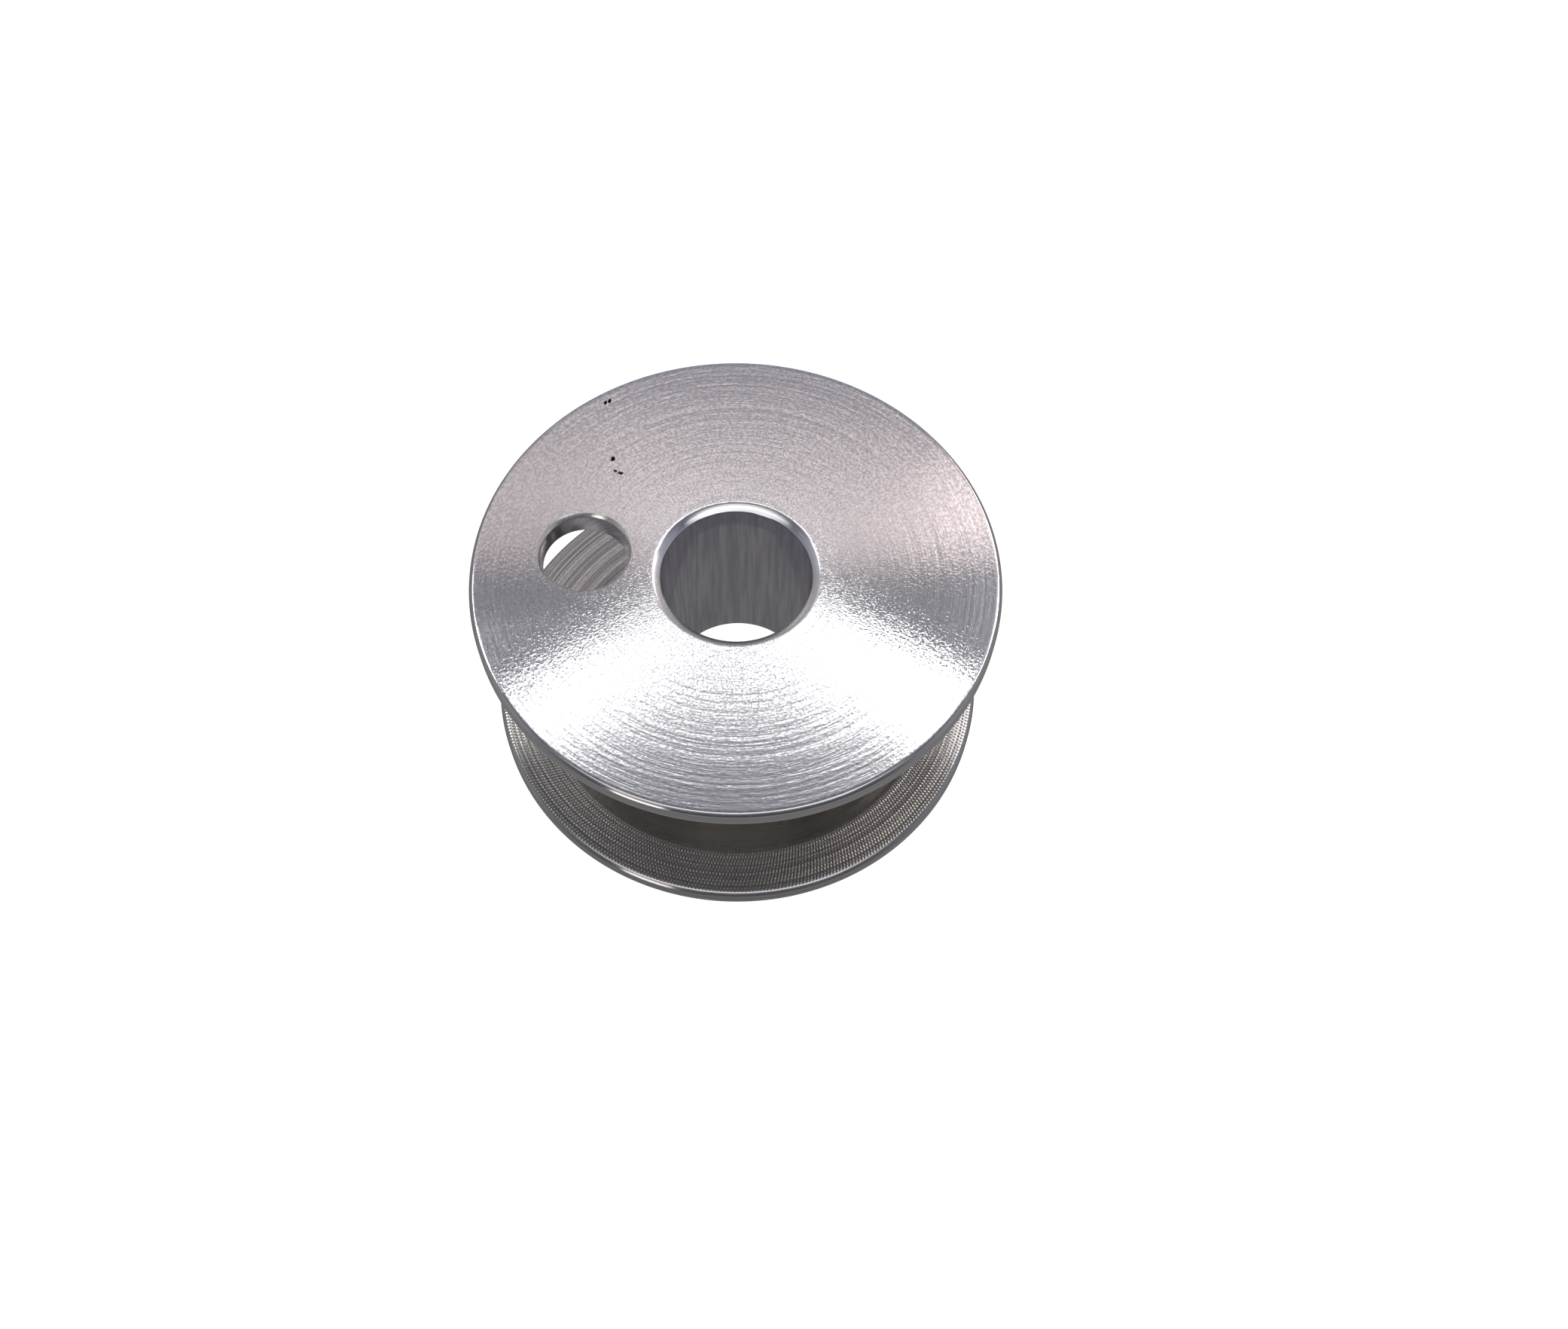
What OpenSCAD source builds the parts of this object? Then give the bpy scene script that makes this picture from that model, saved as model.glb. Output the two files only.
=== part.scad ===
// Sewing-machine bobbin turned from one piece of aluminium bar: a hub with a plain bore and
// two flanges, one of them drilled for the thread end.
//
// Frame, in millimetres: the origin is the centre of the lower flange's outer face, +Z runs
// up the bore, and the thread hole stands on the +X side of the upper flange.

/* [Spool] */
// Outside diameter of both flanges
flange_d = 21; // [20:0.1:26]
// Height over both flanges
height = 9; // [7:0.1:12]
// Diameter of the hub that the thread is wound on
hub_d = 8; // [7.6:0.1:8.6]

/* [Flanges] */
// Flange thickness at the rim
rim_t = 0.85; // [0.6:0.05:1]
// Flange thickness where it meets the hub
root_t = 1.15; // [1.05:0.05:1.5]
// Radius of the fillet between hub and flange
root_fillet = 0.35; // [0.1:0.05:0.6]
// Width of the break on both edges of a rim
rim_break = 0.15; // [0.05:0.01:0.2]

/* [Bore] */
// Diameter of the bore that runs on the spindle
bore_d = 6; // [5:0.05:6.4]
// Width of the chamfer at each mouth, measured across the face
mouth_w = 0.3; // [0.1:0.05:0.4]
// Depth of the chamfer at each mouth
mouth_h = 0.2; // [0.1:0.05:0.4]

/* [Thread hole] */
// Diameter of the hole for the thread end
thread_hole_d = 3.45; // [2:0.05:3.6]
// Distance from the bore's axis to the hole's axis
thread_hole_at = 6.1; // [5.9:0.05:6.6]
// Width of the chamfer at the hole's outer edge
thread_hole_break = 0.15; // [0.05:0.05:0.2]

/* [Hidden] */
$fn = 96;
// Overlap and overshoot of cutting shapes
eps = 0.1;
flange_r = flange_d / 2;
hub_r = hub_d / 2;
bore_r = bore_d / 2;
thread_hole_r = thread_hole_d / 2;

// Both inner faces are cones: slope is their fall from hub to rim, in degrees
slope = atan((root_t - rim_t) / (flange_r - hub_r));
// Centre of the fillet arc, tangent to the hub and to the sloping inner face
fillet_r = hub_r + root_fillet;
fillet_z = root_t - root_fillet * tan(slope) + root_fillet / cos(slope);
// Where the arc runs out on the inner face
runout_r = fillet_r - root_fillet * sin(slope);
runout_z = fillet_z - root_fillet * cos(slope);

// Half section of the lower flange before it is bored: outer face on z = 0, both rim edges
// broken, inner face rising towards the hub
module flange_section() {
    polygon([
        [0, 0],
        [flange_r - rim_break, 0],
        [flange_r, rim_break],
        [flange_r, rim_t - rim_break],
        [flange_r - rim_break, rim_t + rim_break * tan(slope)],
        [hub_r, root_t],
        [0, root_t]
    ]);
}

// Corner left between hub and inner face, with the arc taken out of it
module fillet_section() {
    difference() {
        polygon([
            [hub_r - eps, fillet_z],
            [fillet_r, fillet_z],
            [runout_r, runout_z],
            [runout_r, runout_z - eps],
            [hub_r - eps, runout_z - eps]
        ]);
        translate([fillet_r, fillet_z]) circle(r = root_fillet);
    }
}

// One end of the spool, standing on z = 0: the flange and the fillet that joins it to the hub
module spool_end() {
    rotate_extrude() flange_section();
    rotate_extrude() fillet_section();
}

// Drill for the bore, with a countersink at each mouth
module bore_drill() {
    translate([0, 0, -eps]) cylinder(r = bore_r, h = height + 2 * eps);
    mouth_cutter();
    translate([0, 0, height]) mirror([0, 0, 1]) mouth_cutter();
}

// Countersink for the lower mouth: a cone that carries on past the face by its own slope
module mouth_cutter() {
    translate([0, 0, -mouth_h])
        cylinder(r1 = bore_r + 2 * mouth_w, r2 = bore_r, h = 2 * mouth_h);
}

// Drill for the thread hole, with the countersink that breaks its outer edge. It stops in
// the winding space, so the lower flange stays whole
module thread_drill() {
    translate([thread_hole_at, 0, height]) {
        translate([0, 0, -2 * root_t])
            cylinder(r = thread_hole_r, h = 2 * root_t + eps);
        translate([0, 0, -thread_hole_break])
            cylinder(r1 = thread_hole_r, r2 = thread_hole_r + thread_hole_break + eps,
                     h = thread_hole_break + eps);
    }
}

// The bobbin: the turned spool with the thread hole drilled through its upper flange
module bobbin() {
    color([0.80, 0.79, 0.79])
    difference() {
        union() {
            spool_end();
            translate([0, 0, height]) mirror([0, 0, 1]) spool_end();
            cylinder(r = hub_r, h = height);
        }
        bore_drill();
        thread_drill();
    }
}

bobbin();
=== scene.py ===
# %% [markdown]
# # A turned aluminium bobbin
#
# A sewing-machine bobbin is a spool made on an automatic lathe: aluminium bar goes in, and
# the two flanges, the hub and the bore are cut in one go. Everything that makes it look real
# comes from that lathe, so this lesson spends its effort on tool marks: rings cut into the
# faces, the way a ringed face spreads light into fans, and the small breaks on every edge.
#
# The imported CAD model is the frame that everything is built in. Its origin is the middle of
# the lower flange's outer face, +Z goes up the bore, and the thread hole is on the +X side.

# %% Load the frame
import math
import random

import bmesh
import bpy
from mathutils import Matrix, Vector


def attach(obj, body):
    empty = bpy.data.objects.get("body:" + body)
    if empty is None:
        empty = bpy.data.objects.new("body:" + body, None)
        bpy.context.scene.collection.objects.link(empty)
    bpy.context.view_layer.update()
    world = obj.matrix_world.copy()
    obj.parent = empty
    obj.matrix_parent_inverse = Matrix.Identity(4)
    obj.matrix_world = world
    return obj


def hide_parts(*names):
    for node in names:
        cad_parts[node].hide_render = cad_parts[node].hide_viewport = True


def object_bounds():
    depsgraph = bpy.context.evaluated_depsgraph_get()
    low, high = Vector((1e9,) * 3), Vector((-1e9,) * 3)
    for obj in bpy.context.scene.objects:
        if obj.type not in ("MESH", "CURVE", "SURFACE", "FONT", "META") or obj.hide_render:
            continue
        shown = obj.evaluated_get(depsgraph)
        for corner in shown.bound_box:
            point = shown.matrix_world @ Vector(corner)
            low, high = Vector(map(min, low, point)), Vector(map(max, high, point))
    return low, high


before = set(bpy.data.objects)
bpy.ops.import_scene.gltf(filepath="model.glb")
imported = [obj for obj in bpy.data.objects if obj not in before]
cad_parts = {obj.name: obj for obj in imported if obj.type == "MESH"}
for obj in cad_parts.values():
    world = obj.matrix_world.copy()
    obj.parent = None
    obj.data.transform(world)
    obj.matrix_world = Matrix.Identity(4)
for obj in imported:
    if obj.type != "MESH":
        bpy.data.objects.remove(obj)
cad_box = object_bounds()
mm = 0.001
print("CAD box in mm:", [[round(c / mm, 3) for c in corner] for corner in cad_box])

# %% [markdown]
# ## The studio
#
# The bobbin is looked at from close above, with the thread hole on the left, so the camera
# and all the lamps are placed round it together. They are given as seen by somebody who
# stands in front of the bobbin, and one turn about the bore's axis puts them all into the
# frame. That keeps the numbers easy to read: -Y is towards the viewer, +X to the right.

# %% Studio turn
studio_turn = -173.3
studio = Matrix.Rotation(math.radians(studio_turn), 4, "Z")


def in_studio(x, y, z):
    """A place in millimetres, given as the viewer sees it, in the frame's metres."""
    return studio @ Vector((x * mm, y * mm, z * mm))


# %% [markdown]
# The camera has an ordinary lens of 34 mm, is held about 65 mm from the bobbin and looks
# steeply down, so the near rim looks wider than the far one. It is also rolled by two
# degrees, the way a hand-held camera is. Its small shift places the bobbin in the middle of
# the view without changing the perspective.

# %% Camera
camera_place = (1.92, -32.58, 59.17)
look_down, roll = 66.39, 2.19
camera_data = bpy.data.cameras.new("camera")
camera_data.sensor_width = 36
camera_data.lens = 34.44
camera_data.shift_x = 0.0053
camera_data.shift_y = 0.1006
camera_data.clip_start = 1 * mm
camera_data.clip_end = 20
camera = bpy.data.objects.new("camera", camera_data)
bpy.context.scene.collection.objects.link(camera)
camera_tilt = Matrix.Rotation(math.radians(90 - look_down), 4, "X")
camera_roll = Matrix.Rotation(math.radians(roll), 4, "Z")
camera.matrix_world = (
    Matrix.Translation(in_studio(*camera_place)) @ studio @ camera_tilt @ camera_roll
)
bpy.context.scene.camera = camera
print("camera at", [round(c / mm, 1) for c in camera.matrix_world.translation], "mm")

# %% [markdown]
# The bobbin stands on a table that runs far past the edge of the view. The table lies a hair
# below the lower flange, because two faces in exactly the same place show through each other.

# %% Floor
floor_reach = 6.0
floor_gap = 0.02 * mm
floor_sheet = bmesh.new()
bmesh.ops.create_grid(floor_sheet, x_segments=1, y_segments=1, size=floor_reach)
bmesh.ops.translate(floor_sheet, verts=floor_sheet.verts, vec=(0, 0, -floor_gap))
floor_mesh = bpy.data.meshes.new("floor")
floor_sheet.to_mesh(floor_mesh)
floor_sheet.free()
floor = bpy.data.objects.new("floor", floor_mesh)
bpy.context.scene.collection.objects.link(floor)

# %% [markdown]
# The table is a light table: opal plastic lit from below, so nothing throws a hard shadow on
# it. A real one is equally bright everywhere, but then a polished rim mirrors white and melts
# into the white behind it. So the Light Path node makes the table bright for whoever looks at
# it and much darker in a reflection.

# %% Light table
opal = bpy.data.materials.new("opal")
opal.use_nodes = True
opal_nodes, opal_links = opal.node_tree.nodes, opal.node_tree.links
plastic = opal_nodes["Principled BSDF"]
plastic.inputs["Base Color"].default_value = (0.15, 0.147, 0.141, 1)
plastic.inputs["Roughness"].default_value = 0.9
plastic.inputs["Specular IOR Level"].default_value = 0.1
plastic.inputs["Emission Color"].default_value = (1, 1, 1, 1)
looked_at = opal_nodes.new("ShaderNodeLightPath")
glow = opal_nodes.new("ShaderNodeMapRange")
glow.inputs["To Min"].default_value = 0.11
glow.inputs["To Max"].default_value = 1.0
opal_links.new(looked_at.outputs["Is Camera Ray"], glow.inputs["Value"])
opal_links.new(glow.outputs["Result"], plastic.inputs["Emission Strength"])
floor_mesh.materials.append(opal)
print("light table: glows", glow.inputs["To Max"].default_value, "to the eye")

# %% [markdown]
# A ringed metal face spreads each lamp into a fan that starts at the bore. Where a fan lies
# depends only on where its lamp stands, so the lamps hang in a row behind the bobbin, and each
# one lights its own sector of the face. Their strength is given as radiance, which is how
# bright the softbox looks, because that is what a reflection shows whatever the box's size.

# %% Kinds of lamp
def overhead(name, place, size, radiance, turn=0.0, tint=(1, 1, 1)):
    """A softbox that faces straight down, turned about the vertical."""
    data = bpy.data.lights.new(name, "AREA")
    data.shape = "RECTANGLE"
    data.size, data.size_y = size[0] * mm, size[1] * mm
    data.energy = radiance * math.pi * data.size * data.size_y
    data.color = tint
    lamp = bpy.data.objects.new(name, data)
    bpy.context.scene.collection.objects.link(lamp)
    lamp.matrix_world = (
        Matrix.Translation(in_studio(*place)) @ studio @ Matrix.Rotation(math.radians(turn), 4, "Z")
    )
    return lamp


def standing(name, place, size, radiance, tint=(1, 1, 1)):
    """A softbox on a stand, which faces the bobbin."""
    lamp = overhead(name, place, size, radiance, 0.0, tint)
    away = in_studio(*place) - in_studio(0, 0, 4)
    aim = away.to_track_quat("Z", "Y").to_matrix().to_4x4()
    lamp.matrix_world = Matrix.Translation(in_studio(*place)) @ aim
    return lamp


# %% [markdown]
# The key lamps make the two bright fans in front, the side lamps carry them round to the
# left and right, and the back and far lamps give the dimmer, slightly pink rear half. The
# veil is a wide weak sheet that lifts what is left, and another one hangs over the viewer. A
# lamp on a stand puts a glint on the near rims, and the fill lights the table without being
# mirrored in the metal.

# %% Lamps
ceiling = 309
warm = (1.0, 0.86, 0.82)
cream = (1.0, 0.93, 0.84)
overhead("key_left", (-49, 156, ceiling), (62, 24), 2.5, 30)
overhead("key_middle", (-10, 171, ceiling), (30, 20), 3.5)
overhead("key_right_inner", (17, 167, ceiling), (28, 22), 3.8, -15)
overhead("key_right", (44, 155, ceiling), (32, 24), 5.6, -30)
overhead("key_right_outer", (80, 140, ceiling), (40, 30), 0.6)
overhead("side_left", (-195, 158, ceiling), (90, 100), 5.0)
overhead("side_left_inner", (-140, 148, ceiling), (40, 40), 5.0)
overhead("side_right", (175, 160, ceiling), (90, 100), 5.0)
overhead("side_right_inner", (105, 190, ceiling), (80, 60), 0.45)
overhead("back_left", (-110, 225, ceiling), (120, 60), 0.52, 0, warm)
overhead("back_middle", (0, 225, ceiling), (100, 50), 0.72, 0, warm)
overhead("back_right", (110, 225, ceiling), (120, 50), 1.4, 0, warm)
overhead("far_left", (-280, 330, ceiling), (200, 280), 0.5, 0, warm)
overhead("far_right", (270, 330, ceiling), (200, 280), 4.5, 0, warm)
overhead("veil", (0, 260, ceiling), (900, 600), 0.14)
overhead("viewer_side", (0, -270, ceiling), (700, 300), 1.7)
standing("low_left", (-150, -260, 60), (90, 60), 4.0, cream)
fill = overhead("floor_fill", (0, 0, 600), (900, 900), 1.3)
fill.visible_glossy = False

# %% [markdown]
# ## The room
#
# Metal shows the room that it stands in. Here the walls are pale near the floor and fade to a
# dark ceiling, and the side where the viewer stands is darker, so a rim seen from the front
# has a dark band across it. Whoever looks past the bobbin sees a plain white backdrop.

# %% Room
world = bpy.data.worlds.new("room")
bpy.context.scene.world = world
world.use_nodes = True
room = world.node_tree
walls = room.nodes["Background"]
walls.name = "walls"
direction = room.nodes.new("ShaderNodeTexCoord")
toward_viewer = room.nodes.new("ShaderNodeVectorMath")
toward_viewer.operation = "DOT_PRODUCT"
toward_viewer.inputs[1].default_value = studio @ Vector((0, -1, 0))
room.links.new(direction.outputs["Generated"], toward_viewer.inputs[0])
viewer_side = room.nodes.new("ShaderNodeMapRange")
viewer_side.interpolation_type = "SMOOTHSTEP"
viewer_side.inputs["From Min"].default_value = 0.15
viewer_side.inputs["From Max"].default_value = 0.75
viewer_side.inputs["To Min"].default_value = 1.0
viewer_side.inputs["To Max"].default_value = 0.22
room.links.new(toward_viewer.outputs["Value"], viewer_side.inputs["Value"])
split = room.nodes.new("ShaderNodeSeparateXYZ")
room.links.new(direction.outputs["Generated"], split.inputs[0])
fade = room.nodes.new("ShaderNodeMapRange")
fade.interpolation_type = "SMOOTHSTEP"
fade.inputs["From Min"].default_value = 0.35
fade.inputs["From Max"].default_value = 0.85
fade.inputs["To Min"].default_value = 0.40
fade.inputs["To Max"].default_value = 0.05
room.links.new(split.outputs["Z"], fade.inputs["Value"])
pale = room.nodes.new("ShaderNodeMath")
pale.operation = "MULTIPLY"
room.links.new(viewer_side.outputs["Result"], pale.inputs[0])
room.links.new(fade.outputs["Result"], pale.inputs[1])
room.links.new(pale.outputs["Value"], walls.inputs["Strength"])

# %% [markdown]
# The walls are cream low down and turn blue towards the ceiling, the way daylight mixes with
# lamp light, so the metal takes on a little of both.

# %% Colour of the walls
wall_paint = room.nodes.new("ShaderNodeMix")
wall_paint.data_type = "RGBA"
wall_paint.inputs["A"].default_value = (1.0, 0.98, 0.95, 1)
wall_paint.inputs["B"].default_value = (0.72, 0.82, 1.25, 1)
rise = room.nodes.new("ShaderNodeMapRange")
rise.inputs["From Min"].default_value = 0.2
rise.inputs["From Max"].default_value = 0.7
room.links.new(split.outputs["Z"], rise.inputs["Value"])
room.links.new(rise.outputs["Result"], wall_paint.inputs["Factor"])
room.links.new(wall_paint.outputs["Result"], walls.inputs["Color"])
print("walls:", len(room.nodes), "nodes")

# %% [markdown]
# The white backdrop is a second Background node, mixed in by the Light Path node: rays from
# the camera see it, and rays that have bounced off the metal see the room.

# %% Backdrop
backdrop = room.nodes.new("ShaderNodeBackground")
backdrop.inputs["Color"].default_value = (1, 1, 1, 1)
rays = room.nodes.new("ShaderNodeLightPath")
choose = room.nodes.new("ShaderNodeMixShader")
room.links.new(rays.outputs["Is Camera Ray"], choose.inputs["Fac"])
room.links.new(walls.outputs["Background"], choose.inputs[1])
room.links.new(backdrop.outputs["Background"], choose.inputs[2])
room.links.new(choose.outputs["Shader"], room.nodes["World Output"].inputs["Surface"])
bpy.context.scene.view_settings.view_transform = "Standard"

# %% [markdown]
# ## The turned spool
#
# A lathe part is one outline turned about an axis. The outline is drawn as a few corner
# points, its corners are rounded the way a deburring cut leaves them, and its long edges are
# divided finely so that the tool's feed marks can be cut into it before it is spun.

# %% Sizes
# The two outer sizes are read from the frame, and the others are the drawing's.
flange_r = cad_box[1].x
height = cad_box[1].z
bore_r = 3.0 * mm
mouth_w, mouth_h = 0.3 * mm, 0.2 * mm
hub_r = 4.0 * mm
rim_t, root_t = 0.85 * mm, 1.15 * mm
rim_break = 0.15 * mm
root_fillet = 0.35 * mm
thread_hole_r, thread_hole_at, thread_hole_break = 1.725 * mm, 6.1 * mm, 0.15 * mm
print(f"spool: {2 * flange_r / mm:.1f} mm across, {height / mm:.1f} mm high")

# %% Outline
lower_corners = [
    (bore_r, mouth_h),
    (bore_r + mouth_w, 0),
    (flange_r - rim_break, 0),
    (flange_r, rim_break),
    (flange_r, rim_t - rim_break),
    (flange_r - rim_break, rim_t),
    (hub_r, root_t),
]
corners = lower_corners + [(r, height - z) for r, z in reversed(lower_corners)]

outline = bmesh.new()
points = [outline.verts.new((r, 0, z)) for r, z in corners]
for a, b in zip(points, points[1:] + points[:1]):
    outline.edges.new((a, b))
print("corner points:", len(points))

# %% [markdown]
# No corner of a real part is perfectly sharp, and a rounded corner is what shows as a thin
# bright line. The Bevel operator rounds single points of an outline. The two corners at the
# hub get the generous fillet that keeps a flange from snapping off, and all others get the
# three hundredths of a millimetre that a touch of the deburring tool leaves.

# %% Rounded corners
deburred = 0.035 * mm
root_corners = [p for p in points if abs(p.co.x - hub_r) < deburred]
edge_corners = [p for p in points if p not in root_corners]
bmesh.ops.bevel(
    outline, geom=root_corners, affect="VERTICES", offset=root_fillet * 0.95,
    segments=6, profile=0.5, material=-1,
)
bmesh.ops.bevel(
    outline, geom=[v for v in edge_corners if v.is_valid], affect="VERTICES",
    offset=deburred, segments=2, profile=0.5, material=-1,
)
print("outline points after rounding:", len(outline.verts))

# %% [markdown]
# ## Feed marks
#
# A facing tool leaves one shallow ring for every turn of the bar. On this bobbin they are a
# few thousandths of a millimetre deep, too small to measure but wide enough to catch light as
# thin bright lines. Cutting them into the outline makes them true rings: the finer, broken
# marks come later, from the materials.

# %% Divide the long edges
def edge_between(here):
    """Edges of the outline whose both ends pass the test."""
    return [e for e in outline.edges if all(here(v.co.x, v.co.z) for v in e.verts)]


def divide(name, here, cuts):
    """Cut the long edges that pass the test into pieces of the same length."""
    edges = [e for e in edge_between(here) if e.calc_length() > 0.2 * mm]
    bmesh.ops.subdivide_edges(outline, edges=edges, cuts=cuts)
    print(f"{name}: {len(edges)} edge(s) divided by {cuts}")


tiny = 0.001 * mm
divide("outer faces", lambda r, z: z < tiny or z > height - tiny, 84)
divide(
    "inner faces",
    lambda r, z: r > hub_r + 0.3 * mm and rim_t - tiny < z < height - rim_t + tiny, 48,
)
divide("rims", lambda r, z: r > flange_r - tiny, 4)
divide("hub", lambda r, z: abs(r - hub_r) < tiny, 16)
divide("bore", lambda r, z: abs(r - bore_r) < tiny, 8)

# %% [markdown]
# Every point on a face is now pushed into the metal by a random depth. On the flanges the
# random number is squared, so that most rings are faint and only a few are deep, as they are
# when a chip catches. The seed is fixed, which cuts the same rings every time.

# %% Cut the marks
face_start, face_end = bore_r + mouth_w, flange_r - rim_break
lathe = random.Random(21)
mark_depth = {"outer": 0.0022 * mm, "inner": 0.0030 * mm, "hub": 0.0020 * mm}
marks = 0
for point in outline.verts:
    r, z = point.co.x, point.co.z
    on_outer = (z < tiny or z > height - tiny) and face_start + 0.1 * mm < r < face_end - 0.1 * mm
    on_inner = hub_r + 0.4 * mm < r < flange_r - 0.3 * mm and not (z < tiny or z > height - tiny)
    on_hub = abs(r - hub_r) < tiny and 2 * mm < z < height - 2 * mm
    inward = 1 if z < height / 2 else -1
    if on_outer:
        point.co.z += inward * mark_depth["outer"] * lathe.random() ** 2
        marks += 1
    elif on_inner:
        point.co.z -= inward * mark_depth["inner"] * lathe.random() ** 2
        marks += 1
    elif on_hub:
        point.co.x -= mark_depth["hub"] * lathe.random()
        marks += 1
print("feed marks cut:", marks)

# %% [markdown]
# The Spin operator does what the lathe does: it turns the outline about the bore's axis. With
# 256 steps the rim's straight pieces are a quarter of a millimetre long, too short to show as
# corners. Where the last step meets the first one, their points are welded together.

# %% Spin the outline
steps_round = 256
weld = 0.0002 * mm
spool = outline
bmesh.ops.spin(
    spool, geom=spool.verts[:] + spool.edges[:], cent=(0, 0, 0), axis=(0, 0, 1),
    angle=2 * math.pi, steps=steps_round, use_merge=True, use_duplicate=False,
)
bmesh.ops.remove_doubles(spool, verts=spool.verts, dist=weld)
bmesh.ops.recalc_face_normals(spool, faces=spool.faces)
open_edges = [e for e in spool.edges if len(e.link_faces) != 2]
print("spool:", len(spool.faces), "faces,", len(open_edges), "open edges")

spool_mesh = bpy.data.meshes.new("spool")
spool.to_mesh(spool_mesh)
spool.free()
spool_blank = bpy.data.objects.new("spool_blank", spool_mesh)
bpy.context.scene.collection.objects.link(spool_blank)

# %% [markdown]
# ## The thread hole
#
# The end of the thread is pushed out through this hole before winding starts. It is drilled
# through the upper flange only and its outer edge is broken with a countersink, so the tool
# that cuts it here is a drill of the same shape. A Boolean modifier does the cutting and is
# applied at once, which leaves an ordinary closed mesh.

# %% Drill
drill_top = 0.3 * mm
steps_round_drill = 112
drill = bmesh.new()
drill_outline = [
    (0, height - 2 * root_t),
    (thread_hole_r, height - 2 * root_t),
    (thread_hole_r, height - thread_hole_break - 0.03 * mm),
    (thread_hole_r + 0.01 * mm, height - thread_hole_break + 0.01 * mm),
    (thread_hole_r + thread_hole_break + drill_top, height + drill_top),
    (0, height + drill_top),
]
drill_points = [drill.verts.new((r, 0, z)) for r, z in drill_outline]
for a, b in zip(drill_points, drill_points[1:]):
    drill.edges.new((a, b))
bmesh.ops.spin(
    drill, geom=drill.verts[:] + drill.edges[:], cent=(0, 0, 0), axis=(0, 0, 1),
    angle=2 * math.pi, steps=steps_round_drill, use_merge=True, use_duplicate=False,
)
bmesh.ops.remove_doubles(drill, verts=drill.verts, dist=weld)
bmesh.ops.recalc_face_normals(drill, faces=drill.faces)
bmesh.ops.translate(drill, verts=drill.verts, vec=(thread_hole_at, 0, 0))
drill_mesh = bpy.data.meshes.new("drill")
drill.to_mesh(drill_mesh)
drill.free()
drill_tool = bpy.data.objects.new("drill", drill_mesh)
bpy.context.scene.collection.objects.link(drill_tool)
print("drill:", len(drill_mesh.polygons), "faces")

# %% Cut the hole
cut = spool_blank.modifiers.new("thread_hole", "BOOLEAN")
cut.operation = "DIFFERENCE"
cut.solver = "EXACT"
cut.object = drill_tool
seen = spool_blank.evaluated_get(bpy.context.evaluated_depsgraph_get())
bobbin_mesh = bpy.data.meshes.new_from_object(seen)
bobbin_mesh.name = "bobbin_turned"
bobbin = bpy.data.objects.new("bobbin_turned", bobbin_mesh)
bpy.context.scene.collection.objects.link(bobbin)
for scrap in (spool_blank, drill_tool):
    bpy.data.objects.remove(scrap)

# %% [markdown]
# Cutting leaves a few slivers with no area where the drill ran along an edge. They are
# dissolved, and then the mesh is measured: every edge has to have two faces, or the bobbin
# would leak, and the volume should be close to that of the drawing.

# %% Clean and measure
check = bmesh.new()
check.from_mesh(bobbin_mesh)
bmesh.ops.dissolve_degenerate(check, dist=weld / 2, edges=check.edges)
check.to_mesh(bobbin_mesh)
loose = [e for e in check.edges if len(e.link_faces) != 2]
triangles = sum(len(f.verts) - 2 for f in check.faces)
volume = check.calc_volume() / mm**3
check.free()
print("bobbin:", triangles, "triangles,", len(loose), "open edges,", round(volume, 1), "mm3")

# %% [markdown]
# ## Where a mark lies on the lathe
#
# Marks from a lathe run round the axis, so the patterns are not laid out in x, y and z but
# in two other directions: around the axis, and across it. Around is the pair cosine and sine
# of the angle, which meets itself without a seam. Across is radius plus height in
# millimetres, so it grows along a face as well as along a wall.

# %% Helpers for node trees
def add_node(tree, kind, **settings):
    """A new node with some of its settings already made."""
    new = tree.nodes.new(kind)
    for key, value in settings.items():
        setattr(new, key, value)
    return new


def maths(tree, operation, first, second=None):
    """A Math node, fed with numbers or with other nodes' outputs."""
    new = add_node(tree, "ShaderNodeMath", operation=operation)
    for socket, value in zip(new.inputs, (first, second)):
        if isinstance(value, (int, float)):
            socket.default_value = value
        elif value is not None:
            tree.links.new(value, socket)
    return new.outputs[0]


def start_group(name, inputs, outputs):
    """An empty node group with named sockets, and the nodes at its two ends."""
    tree = bpy.data.node_groups.new(name, "ShaderNodeTree")
    for label, kind, value in inputs:
        socket = tree.interface.new_socket(label, in_out="INPUT", socket_type=kind)
        socket.default_value = value
    for label, kind in outputs:
        tree.interface.new_socket(label, in_out="OUTPUT", socket_type=kind)
    return tree, add_node(tree, "NodeGroupInput"), add_node(tree, "NodeGroupOutput")


# %% Group: place on the lathe
FLOAT, VECTOR = "NodeSocketFloat", "NodeSocketVector"
mm_per_metre, metres_per_um = 1000.0, 1e-6
place_group, _, out = start_group(
    "lathe_place", [], [("Cosine", FLOAT), ("Sine", FLOAT), ("Across", FLOAT), ("Radius", FLOAT)]
)
where = add_node(place_group, "ShaderNodeTexCoord")
xyz = add_node(place_group, "ShaderNodeSeparateXYZ")
place_group.links.new(where.outputs["Object"], xyz.inputs[0])
x, y, z = xyz.outputs
x_squared, y_squared = (maths(place_group, "MULTIPLY", side, side) for side in (x, y))
radius = maths(place_group, "SQRT", maths(place_group, "ADD", x_squared, y_squared))
radius_mm = maths(place_group, "MULTIPLY", radius, mm_per_metre)
height_mm = maths(place_group, "MULTIPLY", z, mm_per_metre)
place_group.links.new(maths(place_group, "DIVIDE", x, radius), out.inputs["Cosine"])
place_group.links.new(maths(place_group, "DIVIDE", y, radius), out.inputs["Sine"])
place_group.links.new(maths(place_group, "ADD", radius_mm, height_mm), out.inputs["Across"])
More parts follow.
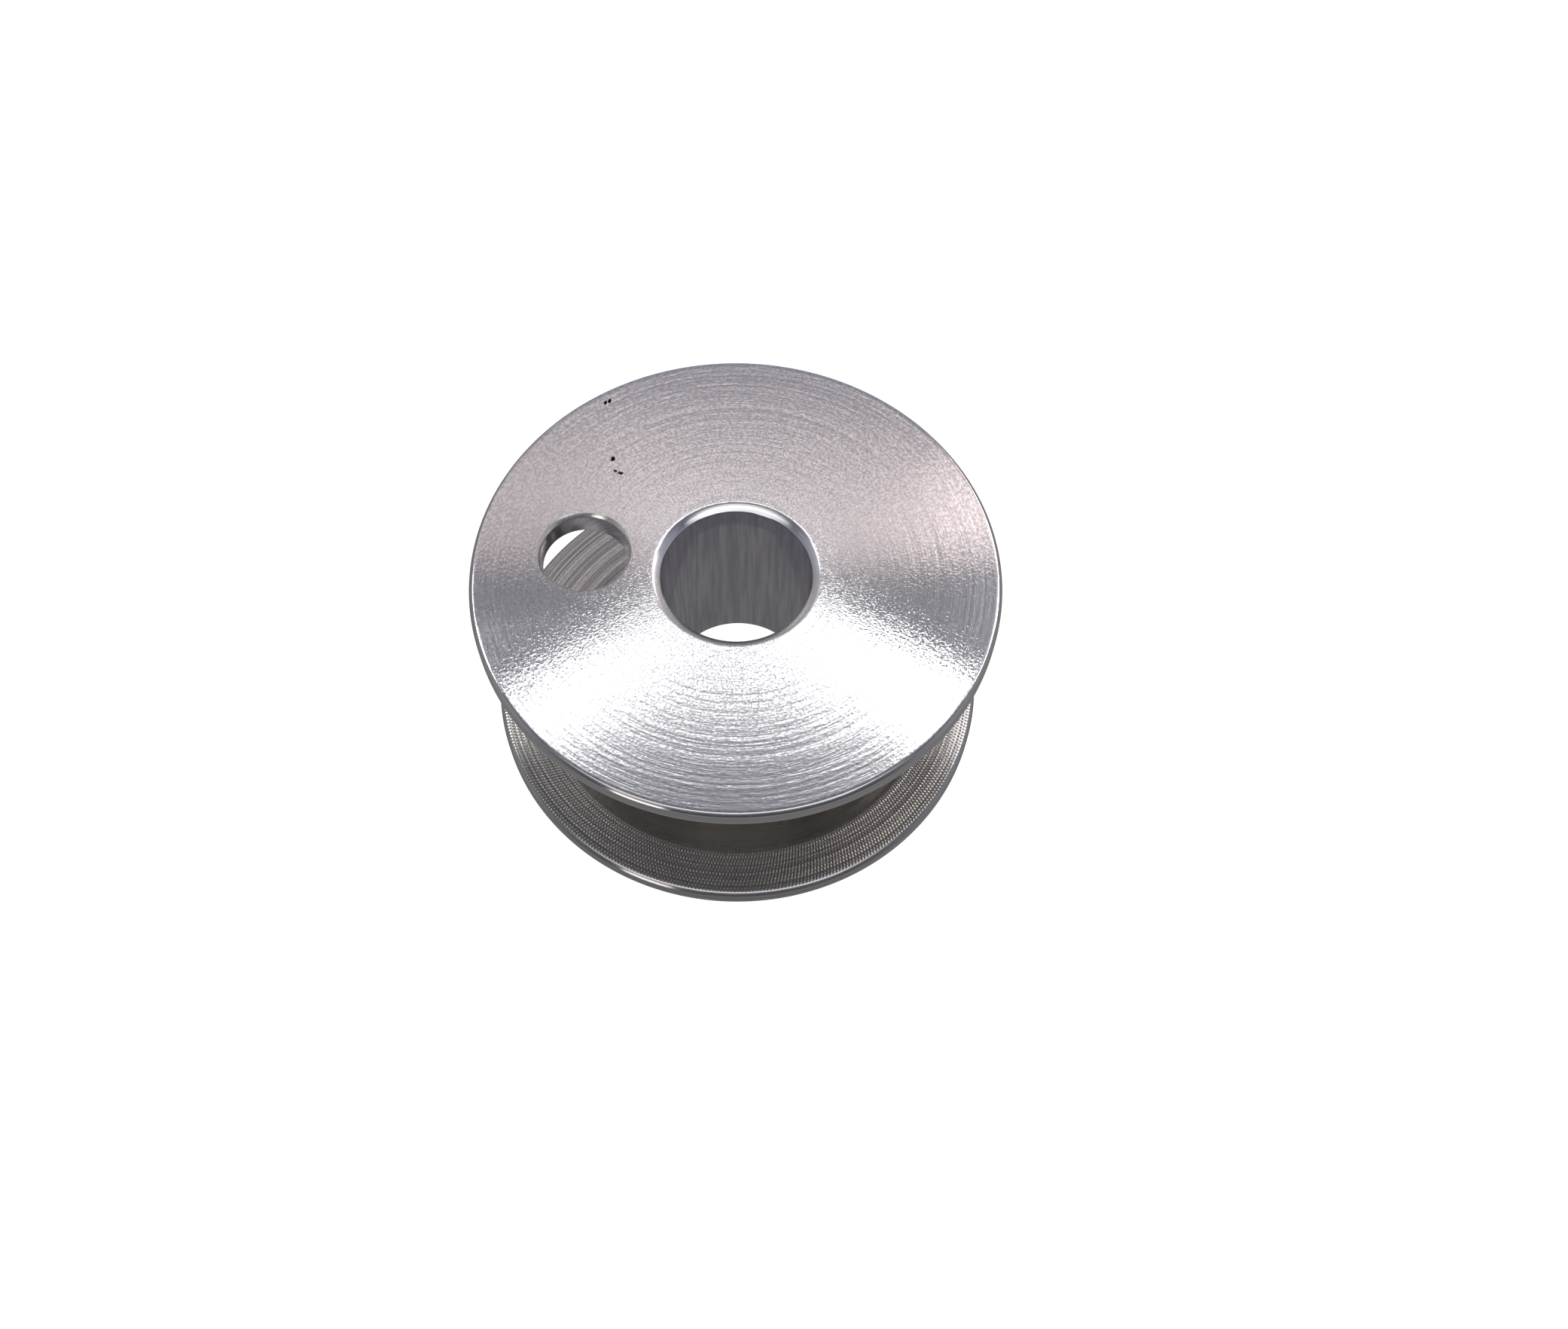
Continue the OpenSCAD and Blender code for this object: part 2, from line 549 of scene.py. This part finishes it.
place_group.links.new(radius_mm, out.inputs["Radius"])

# %% [markdown]
# ## Marks of the tool
#
# Four kinds of mark lie over each other. Rings are the same all the way round, because the
# tool stood still while the bar turned. Streaks are rings that start and stop, where a chip
# dragged under the tool. Grain is the torn texture of soft aluminium, flakes about a tenth of
# a millimetre wide that break the edge of every highlight into sparkle. Drag runs along the
# axis instead, where a reamer was pulled out of the bore.
#
# Each is one noise texture, stretched by how much it is multiplied around and across. Their
# heights are in micrometres and are added up, so one Bump node can turn them into slopes.

# %% Group: tool marks
def stretched_noise(tree, place, around, across, detail, seed):
    """Noise with this many features around (per radian) and across (per millimetre)."""
    vector = add_node(tree, "ShaderNodeCombineXYZ")
    tree.links.new(maths(tree, "MULTIPLY", place.outputs["Cosine"], around), vector.inputs[0])
    tree.links.new(maths(tree, "MULTIPLY", place.outputs["Sine"], around), vector.inputs[1])
    tree.links.new(maths(tree, "MULTIPLY", place.outputs["Across"], across), vector.inputs[2])
    noise = add_node(tree, "ShaderNodeTexNoise", noise_dimensions="4D")
    tree.links.new(vector.outputs[0], noise.inputs["Vector"])
    noise.inputs["W"].default_value = seed
    noise.inputs["Scale"].default_value = 1.0
    noise.inputs["Detail"].default_value = detail
    return noise.outputs["Fac"]


marks_group, given, out = start_group(
    "tool_marks",
    [(kind + " um", FLOAT, 1.0) for kind in ("Rings", "Streaks", "Grain", "Drag")],
    [("Height", FLOAT)] + [(kind, FLOAT) for kind in ("Rings", "Streaks", "Grain", "Drag")],
)
place = add_node(marks_group, "ShaderNodeGroup", node_tree=place_group)
patterns = {
    "Rings": stretched_noise(marks_group, place, 0.3, 10.0, 4.0, 1.0),
    "Streaks": stretched_noise(marks_group, place, 14.0, 11.0, 3.0, 5.0),
    "Grain": stretched_noise(marks_group, place, 72.0, 10.0, 2.0, 9.0),
    "Drag": stretched_noise(marks_group, place, 16.0, 0.35, 4.0, 13.0),
}
total = None
for name, pattern in patterns.items():
    part = maths(marks_group, "MULTIPLY", pattern, given.outputs[name + " um"])
    total = part if total is None else maths(marks_group, "ADD", total, part)
    marks_group.links.new(pattern, out.inputs[name])
marks_group.links.new(maths(marks_group, "MULTIPLY", total, metres_per_um), out.inputs["Height"])
print("marks:", ", ".join(patterns))

# %% [markdown]
# ## Chatter dots
#
# Near the rims the grooving tool chattered against the bar. Each turn left a row of small
# bright dents, a little over a tenth of a millimetre apart. The rows are counted with a
# rounded-down radius. Each row is shifted by the golden angle, which never lines up with
# itself, and a sine with a whole number of waves to the turn sets the dents, so the rows close.

# %% Group: chatter dots
dots_group, given, out = start_group(
    "chatter_dots",
    [("Start", FLOAT, 8.6), ("Row", FLOAT, 0.15), ("Dents", FLOAT, 430.0)], [("Dots", FLOAT)],
)
place = add_node(dots_group, "ShaderNodeGroup", node_tree=place_group)
radius_mm = place.outputs["Radius"]
angle = maths(dots_group, "ARCTAN2", place.outputs["Sine"], place.outputs["Cosine"])
rows = maths(dots_group, "DIVIDE", radius_mm, given.outputs["Row"])
row = maths(dots_group, "FLOOR", rows)
golden_angle = math.pi * (3 - math.sqrt(5))
shift = maths(dots_group, "MULTIPLY", row, golden_angle)
wave = maths(
    dots_group, "SINE",
    maths(dots_group, "ADD", maths(dots_group, "MULTIPLY", angle, given.outputs["Dents"]), shift),
)
across_row = maths(
    dots_group, "SINE", maths(dots_group, "MULTIPLY", maths(dots_group, "FRACT", rows), math.pi)
)
dents = maths(dots_group, "MULTIPLY", maths(dots_group, "MAXIMUM", wave, 0.0), across_row)
near_rim = maths(dots_group, "GREATER_THAN", radius_mm, given.outputs["Start"])
dots_group.links.new(maths(dots_group, "MULTIPLY", dents, near_rim), out.inputs["Dots"])

# %% [markdown]
# ## Small pits
#
# Bar stock has an inclusion here and there, and the facing tool opens it into a black pit a
# tenth of a millimetre long. A few of them stop the face from looking drawn. The mask is a
# short distance from a chosen place, stretched along the cut.

# %% Group: one pit
pit_group, given, out = start_group(
    "pit", [("Place", VECTOR, (0, 0, 0)), ("Stretch", VECTOR, (1, 1, 1)), ("Size", FLOAT, 0.05)],
    [("Mask", FLOAT)],
)
where = add_node(pit_group, "ShaderNodeTexCoord")
in_mm = add_node(pit_group, "ShaderNodeVectorMath", operation="SCALE")
in_mm.inputs["Scale"].default_value = mm_per_metre
pit_group.links.new(where.outputs["Object"], in_mm.inputs[0])
offset = add_node(pit_group, "ShaderNodeVectorMath", operation="SUBTRACT")
pit_group.links.new(in_mm.outputs[0], offset.inputs[0])
pit_group.links.new(given.outputs["Place"], offset.inputs[1])
squeezed = add_node(pit_group, "ShaderNodeVectorMath", operation="MULTIPLY")
pit_group.links.new(offset.outputs[0], squeezed.inputs[0])
pit_group.links.new(given.outputs["Stretch"], squeezed.inputs[1])
length = add_node(pit_group, "ShaderNodeVectorMath", operation="LENGTH")
pit_group.links.new(squeezed.outputs[0], length.inputs[0])
pit_group.links.new(
    maths(pit_group, "LESS_THAN", length.outputs["Value"], given.outputs["Size"]), out.inputs["Mask"]
)

# %% [markdown]
# ## Turned aluminium
#
# Polished metal has one roughness. Turned metal has two: along the rings it is nearly smooth,
# across them it is rough, and that is what draws a lamp out into a fan over the whole face.
# The Tangent node points round the axis, so a quarter turn of the anisotropy makes the
# rougher direction run outwards from the bore.
#
# The colour comes first: a light and a dark tone of the same metal, and the black pits.

# %% Colour of the metal
def mark_contrast(tree, pattern_output):
    """A mark pattern pulled apart into its light and its dark places."""
    contrast = add_node(tree, "ShaderNodeMapRange", interpolation_type="SMOOTHSTEP")
    contrast.inputs["From Min"].default_value = 0.36
    contrast.inputs["From Max"].default_value = 0.64
    tree.links.new(pattern_output, contrast.inputs["Value"])
    return contrast.outputs["Result"]


def blackened(tree, base, pits):
    """The colour with a black spot wherever one of the pits is."""
    for place, stretch, size in pits:
        pit = add_node(tree, "ShaderNodeGroup", node_tree=pit_group)
        pit.inputs["Place"].default_value = place
        pit.inputs["Stretch"].default_value = stretch
        pit.inputs["Size"].default_value = size
        blacken = add_node(tree, "ShaderNodeMix", data_type="RGBA")
        blacken.inputs["B"].default_value = (0.012, 0.011, 0.012, 1)
        tree.links.new(pit.outputs["Mask"], blacken.inputs["Factor"])
        tree.links.new(base, blacken.inputs["A"])
        base = blacken.outputs["Result"]
    return base


# %% [markdown]
# One mark pattern steers both colour and roughness, because a torn spot is darker and duller
# than a clean cut. The marks themselves, and the chatter dots where there are any, are added
# up as a height, and a Bump node turns that height into slopes that bend the reflections.

# %% Turned metal
def turned(
    name, light, dark, smooth, rough, anisotropic,
    rings=0.0, streaks=0.0, grain=0.0, drag=0.0, pattern="Streaks", dots_um=0.0, pits=(),
):
    """Aluminium whose colour and roughness follow one of the mark patterns."""
    material = bpy.data.materials.new(name)
    material.use_nodes = True
    tree = material.node_tree
    shader = tree.nodes["Principled BSDF"]
    shader.inputs["Metallic"].default_value = 1.0
    shader.inputs["Anisotropic"].default_value = anisotropic
    shader.inputs["Anisotropic Rotation"].default_value = 0.25
    tangent = add_node(tree, "ShaderNodeTangent", direction_type="RADIAL", axis="Z")
    tree.links.new(tangent.outputs["Tangent"], shader.inputs["Tangent"])

    group = add_node(tree, "ShaderNodeGroup", node_tree=marks_group)
    group.inputs["Rings um"].default_value = rings
    group.inputs["Streaks um"].default_value = streaks
    group.inputs["Grain um"].default_value = grain
    group.inputs["Drag um"].default_value = drag
    contrast = mark_contrast(tree, group.outputs[pattern])

    colour = add_node(tree, "ShaderNodeMix", data_type="RGBA")
    colour.inputs["A"].default_value = (*dark, 1)
    colour.inputs["B"].default_value = (*light, 1)
    tree.links.new(contrast, colour.inputs["Factor"])
    tree.links.new(blackened(tree, colour.outputs["Result"], pits), shader.inputs["Base Color"])

    polish = add_node(tree, "ShaderNodeMapRange")
    polish.inputs["To Min"].default_value = rough
    polish.inputs["To Max"].default_value = smooth
    tree.links.new(contrast, polish.inputs["Value"])
    tree.links.new(polish.outputs["Result"], shader.inputs["Roughness"])

    relief = group.outputs["Height"]
    if dots_um:
        dots = add_node(tree, "ShaderNodeGroup", node_tree=dots_group)
        dot_height = maths(tree, "MULTIPLY", dots.outputs["Dots"], dots_um * metres_per_um)
        relief = maths(tree, "ADD", relief, dot_height)
    bump = add_node(tree, "ShaderNodeBump")
    bump.inputs["Distance"].default_value = 1.0
    tree.links.new(relief, bump.inputs["Height"])
    tree.links.new(bump.outputs["Normal"], shader.inputs["Normal"])
    return material


# %% [markdown]
# ## Finishes of the outside
#
# The faces were cut last, with a sharp tool, so they are the brightest. Their sparkle comes
# from the grain. The edges and the chamfers were only touched by a tool for a moment, so they
# are rougher. Their darker base colour is painted shade, which draws the outline of each flange.

# %% Outside finishes
top = height / mm
face_pits = [
    ((5.84, -4.56, top), (0.8, 0.6, 0), 0.072),
    ((5.63, -3.99, top), (0.8, 0.9, 0), 0.060),
    ((5.40, -3.92, top), (0.6, 1.0, 0), 0.072),
    ((6.70, -7.30, top), (0.9, 0.5, 0), 0.055),
    ((6.55, -7.42, top), (0.9, 0.5, 0), 0.060),
]
outside = [
    turned(
        "turned_face", light=(0.95, 0.94, 0.94), dark=(0.66, 0.66, 0.70),
        smooth=0.07, rough=0.12, anisotropic=1.0,
        rings=3.4, streaks=3.0, grain=2.1, pattern="Grain", pits=face_pits,
    ),
    # The edge tones are darker than the face's: painted shade along the rims and chamfers.
    turned(
        "turned_edge", light=(0.56, 0.55, 0.57), dark=(0.40, 0.39, 0.41),
        smooth=0.14, rough=0.22, anisotropic=0.8,
        rings=1.5, streaks=1.0, grain=0.6, pattern="Rings",
    ),
    turned(
        "bore_mouth", light=(0.80, 0.79, 0.80), dark=(0.62, 0.61, 0.62),
        smooth=0.18, rough=0.26, anisotropic=0.8,
        rings=0.6, streaks=0.5, grain=0.3, pattern="Rings",
    ),
]
print("pits in the upper face:", len(face_pits))

# %% [markdown]
# ## Finishes of the winding space
#
# The narrow grooving tool leaves a coarser ring than the facing tool, and nobody polishes it,
# because thread covers it. Its colour is darker and slightly warm: the darkness is painted
# shade, for the shade that falls in the recess between the two flanges, on the hub as well.

# %% Winding space finishes
winding_space = [
    # These darker base colours are painted shade for the recess between the flanges.
    turned(
        "winding_face", light=(0.60, 0.58, 0.56), dark=(0.30, 0.29, 0.28),
        smooth=0.14, rough=0.24, anisotropic=1.0,
        rings=8.0, streaks=7.0, grain=1.4, pattern="Rings", dots_um=14.0,
    ),
    # The hub's darker colour is painted shade as well: it lies at the bottom of the recess.
    turned(
        "hub", light=(0.72, 0.70, 0.68), dark=(0.58, 0.56, 0.54),
        smooth=0.2, rough=0.3, anisotropic=0.8,
        rings=4.0, streaks=2.5, grain=1.0, pattern="Rings",
    ),
]

# %% [markdown]
# ## Finishes of the holes
#
# The bore is reamed, so it is smooth and its faint marks run along the axis. The thread hole
# is only drilled, which leaves a rougher wall. That wall's darker colour is painted shade, for
# the shade inside the small hole. Its countersink is bright but the dullest.

# %% Hole finishes
holes = [
    turned(
        "bore_wall", light=(0.86, 0.84, 0.90), dark=(0.66, 0.65, 0.71),
        smooth=0.10, rough=0.16, anisotropic=0.2,
        rings=0.2, streaks=0.2, grain=0.3, drag=3.0, pattern="Drag",
    ),
    # The drilled wall's dark tone is painted shade inside the small hole.
    turned(
        "drilled_wall", light=(0.50, 0.48, 0.52), dark=(0.32, 0.31, 0.34),
        smooth=0.16, rough=0.26, anisotropic=0.4, rings=1.0, streaks=0.8, grain=0.5,
    ),
    turned(
        "countersink", light=(0.88, 0.87, 0.88), dark=(0.74, 0.73, 0.75),
        smooth=0.22, rough=0.32, anisotropic=0.0, rings=0.5, streaks=0.5, grain=1.0,
    ),
]
surface = {material.name: material for material in outside + winding_space + holes}
print("finishes:", ", ".join(surface))

# %% [markdown]
# ## Which surface is which
#
# All of it is one piece of aluminium, but each surface was left by a different tool: the
# outer faces by a facing tool, the winding space by a narrow grooving tool that chattered,
# the bore by a reamer that was pulled out along the axis, the thread hole by a drill. Every
# face of the mesh is given the finish of the tool that made it, found from where it lies.

# %% Slots
finishes = list(surface)
bobbin_mesh.materials.clear()
for name in finishes:
    bobbin_mesh.materials.append(surface[name])
print("material slots:", len(bobbin_mesh.materials))


# %% [markdown]
# The tests run from the most particular place to the most general one: first the thread
# hole, then the flat outer faces, the bore, its mouths and the rims. What is left lies in the
# winding space, where a face that looks up or down belongs to a flange and the rest is hub.

# %% Finish of each face
face_skin = 0.006 * mm


def finish_of(centre, normal):
    """The name of the finish that the tool left here."""
    r = math.hypot(centre.x, centre.y)
    from_drill = math.hypot(centre.x - thread_hole_at, centre.y)
    inside_z = min(centre.z, height - centre.z)
    if from_drill < thread_hole_r + thread_hole_break + tiny and abs(normal.z) < 0.9:
        return "drilled_wall" if abs(normal.z) < 0.3 else "countersink"
    if inside_z < face_skin and abs(normal.z) > 0.97:
        return "turned_face"
    if r < bore_r + 0.01 * mm:
        return "bore_wall"
    if r < bore_r + mouth_w * 1.1:
        return "bore_mouth"
    if r > flange_r - rim_break * 1.05:
        return "turned_edge"
    if abs(normal.z) > 0.5:
        return "winding_face"
    return "hub"


counted = dict.fromkeys(finishes, 0)
for polygon in bobbin_mesh.polygons:
    name = finish_of(polygon.center, polygon.normal)
    polygon.material_index = finishes.index(name)
    polygon.use_smooth = True
    counted[name] += 1
bobbin_mesh.set_sharp_from_angle(angle=math.radians(35))
print("faces by finish:", counted)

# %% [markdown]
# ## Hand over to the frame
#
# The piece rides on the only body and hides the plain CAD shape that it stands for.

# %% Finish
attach(bobbin, "root")
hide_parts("bobbin")
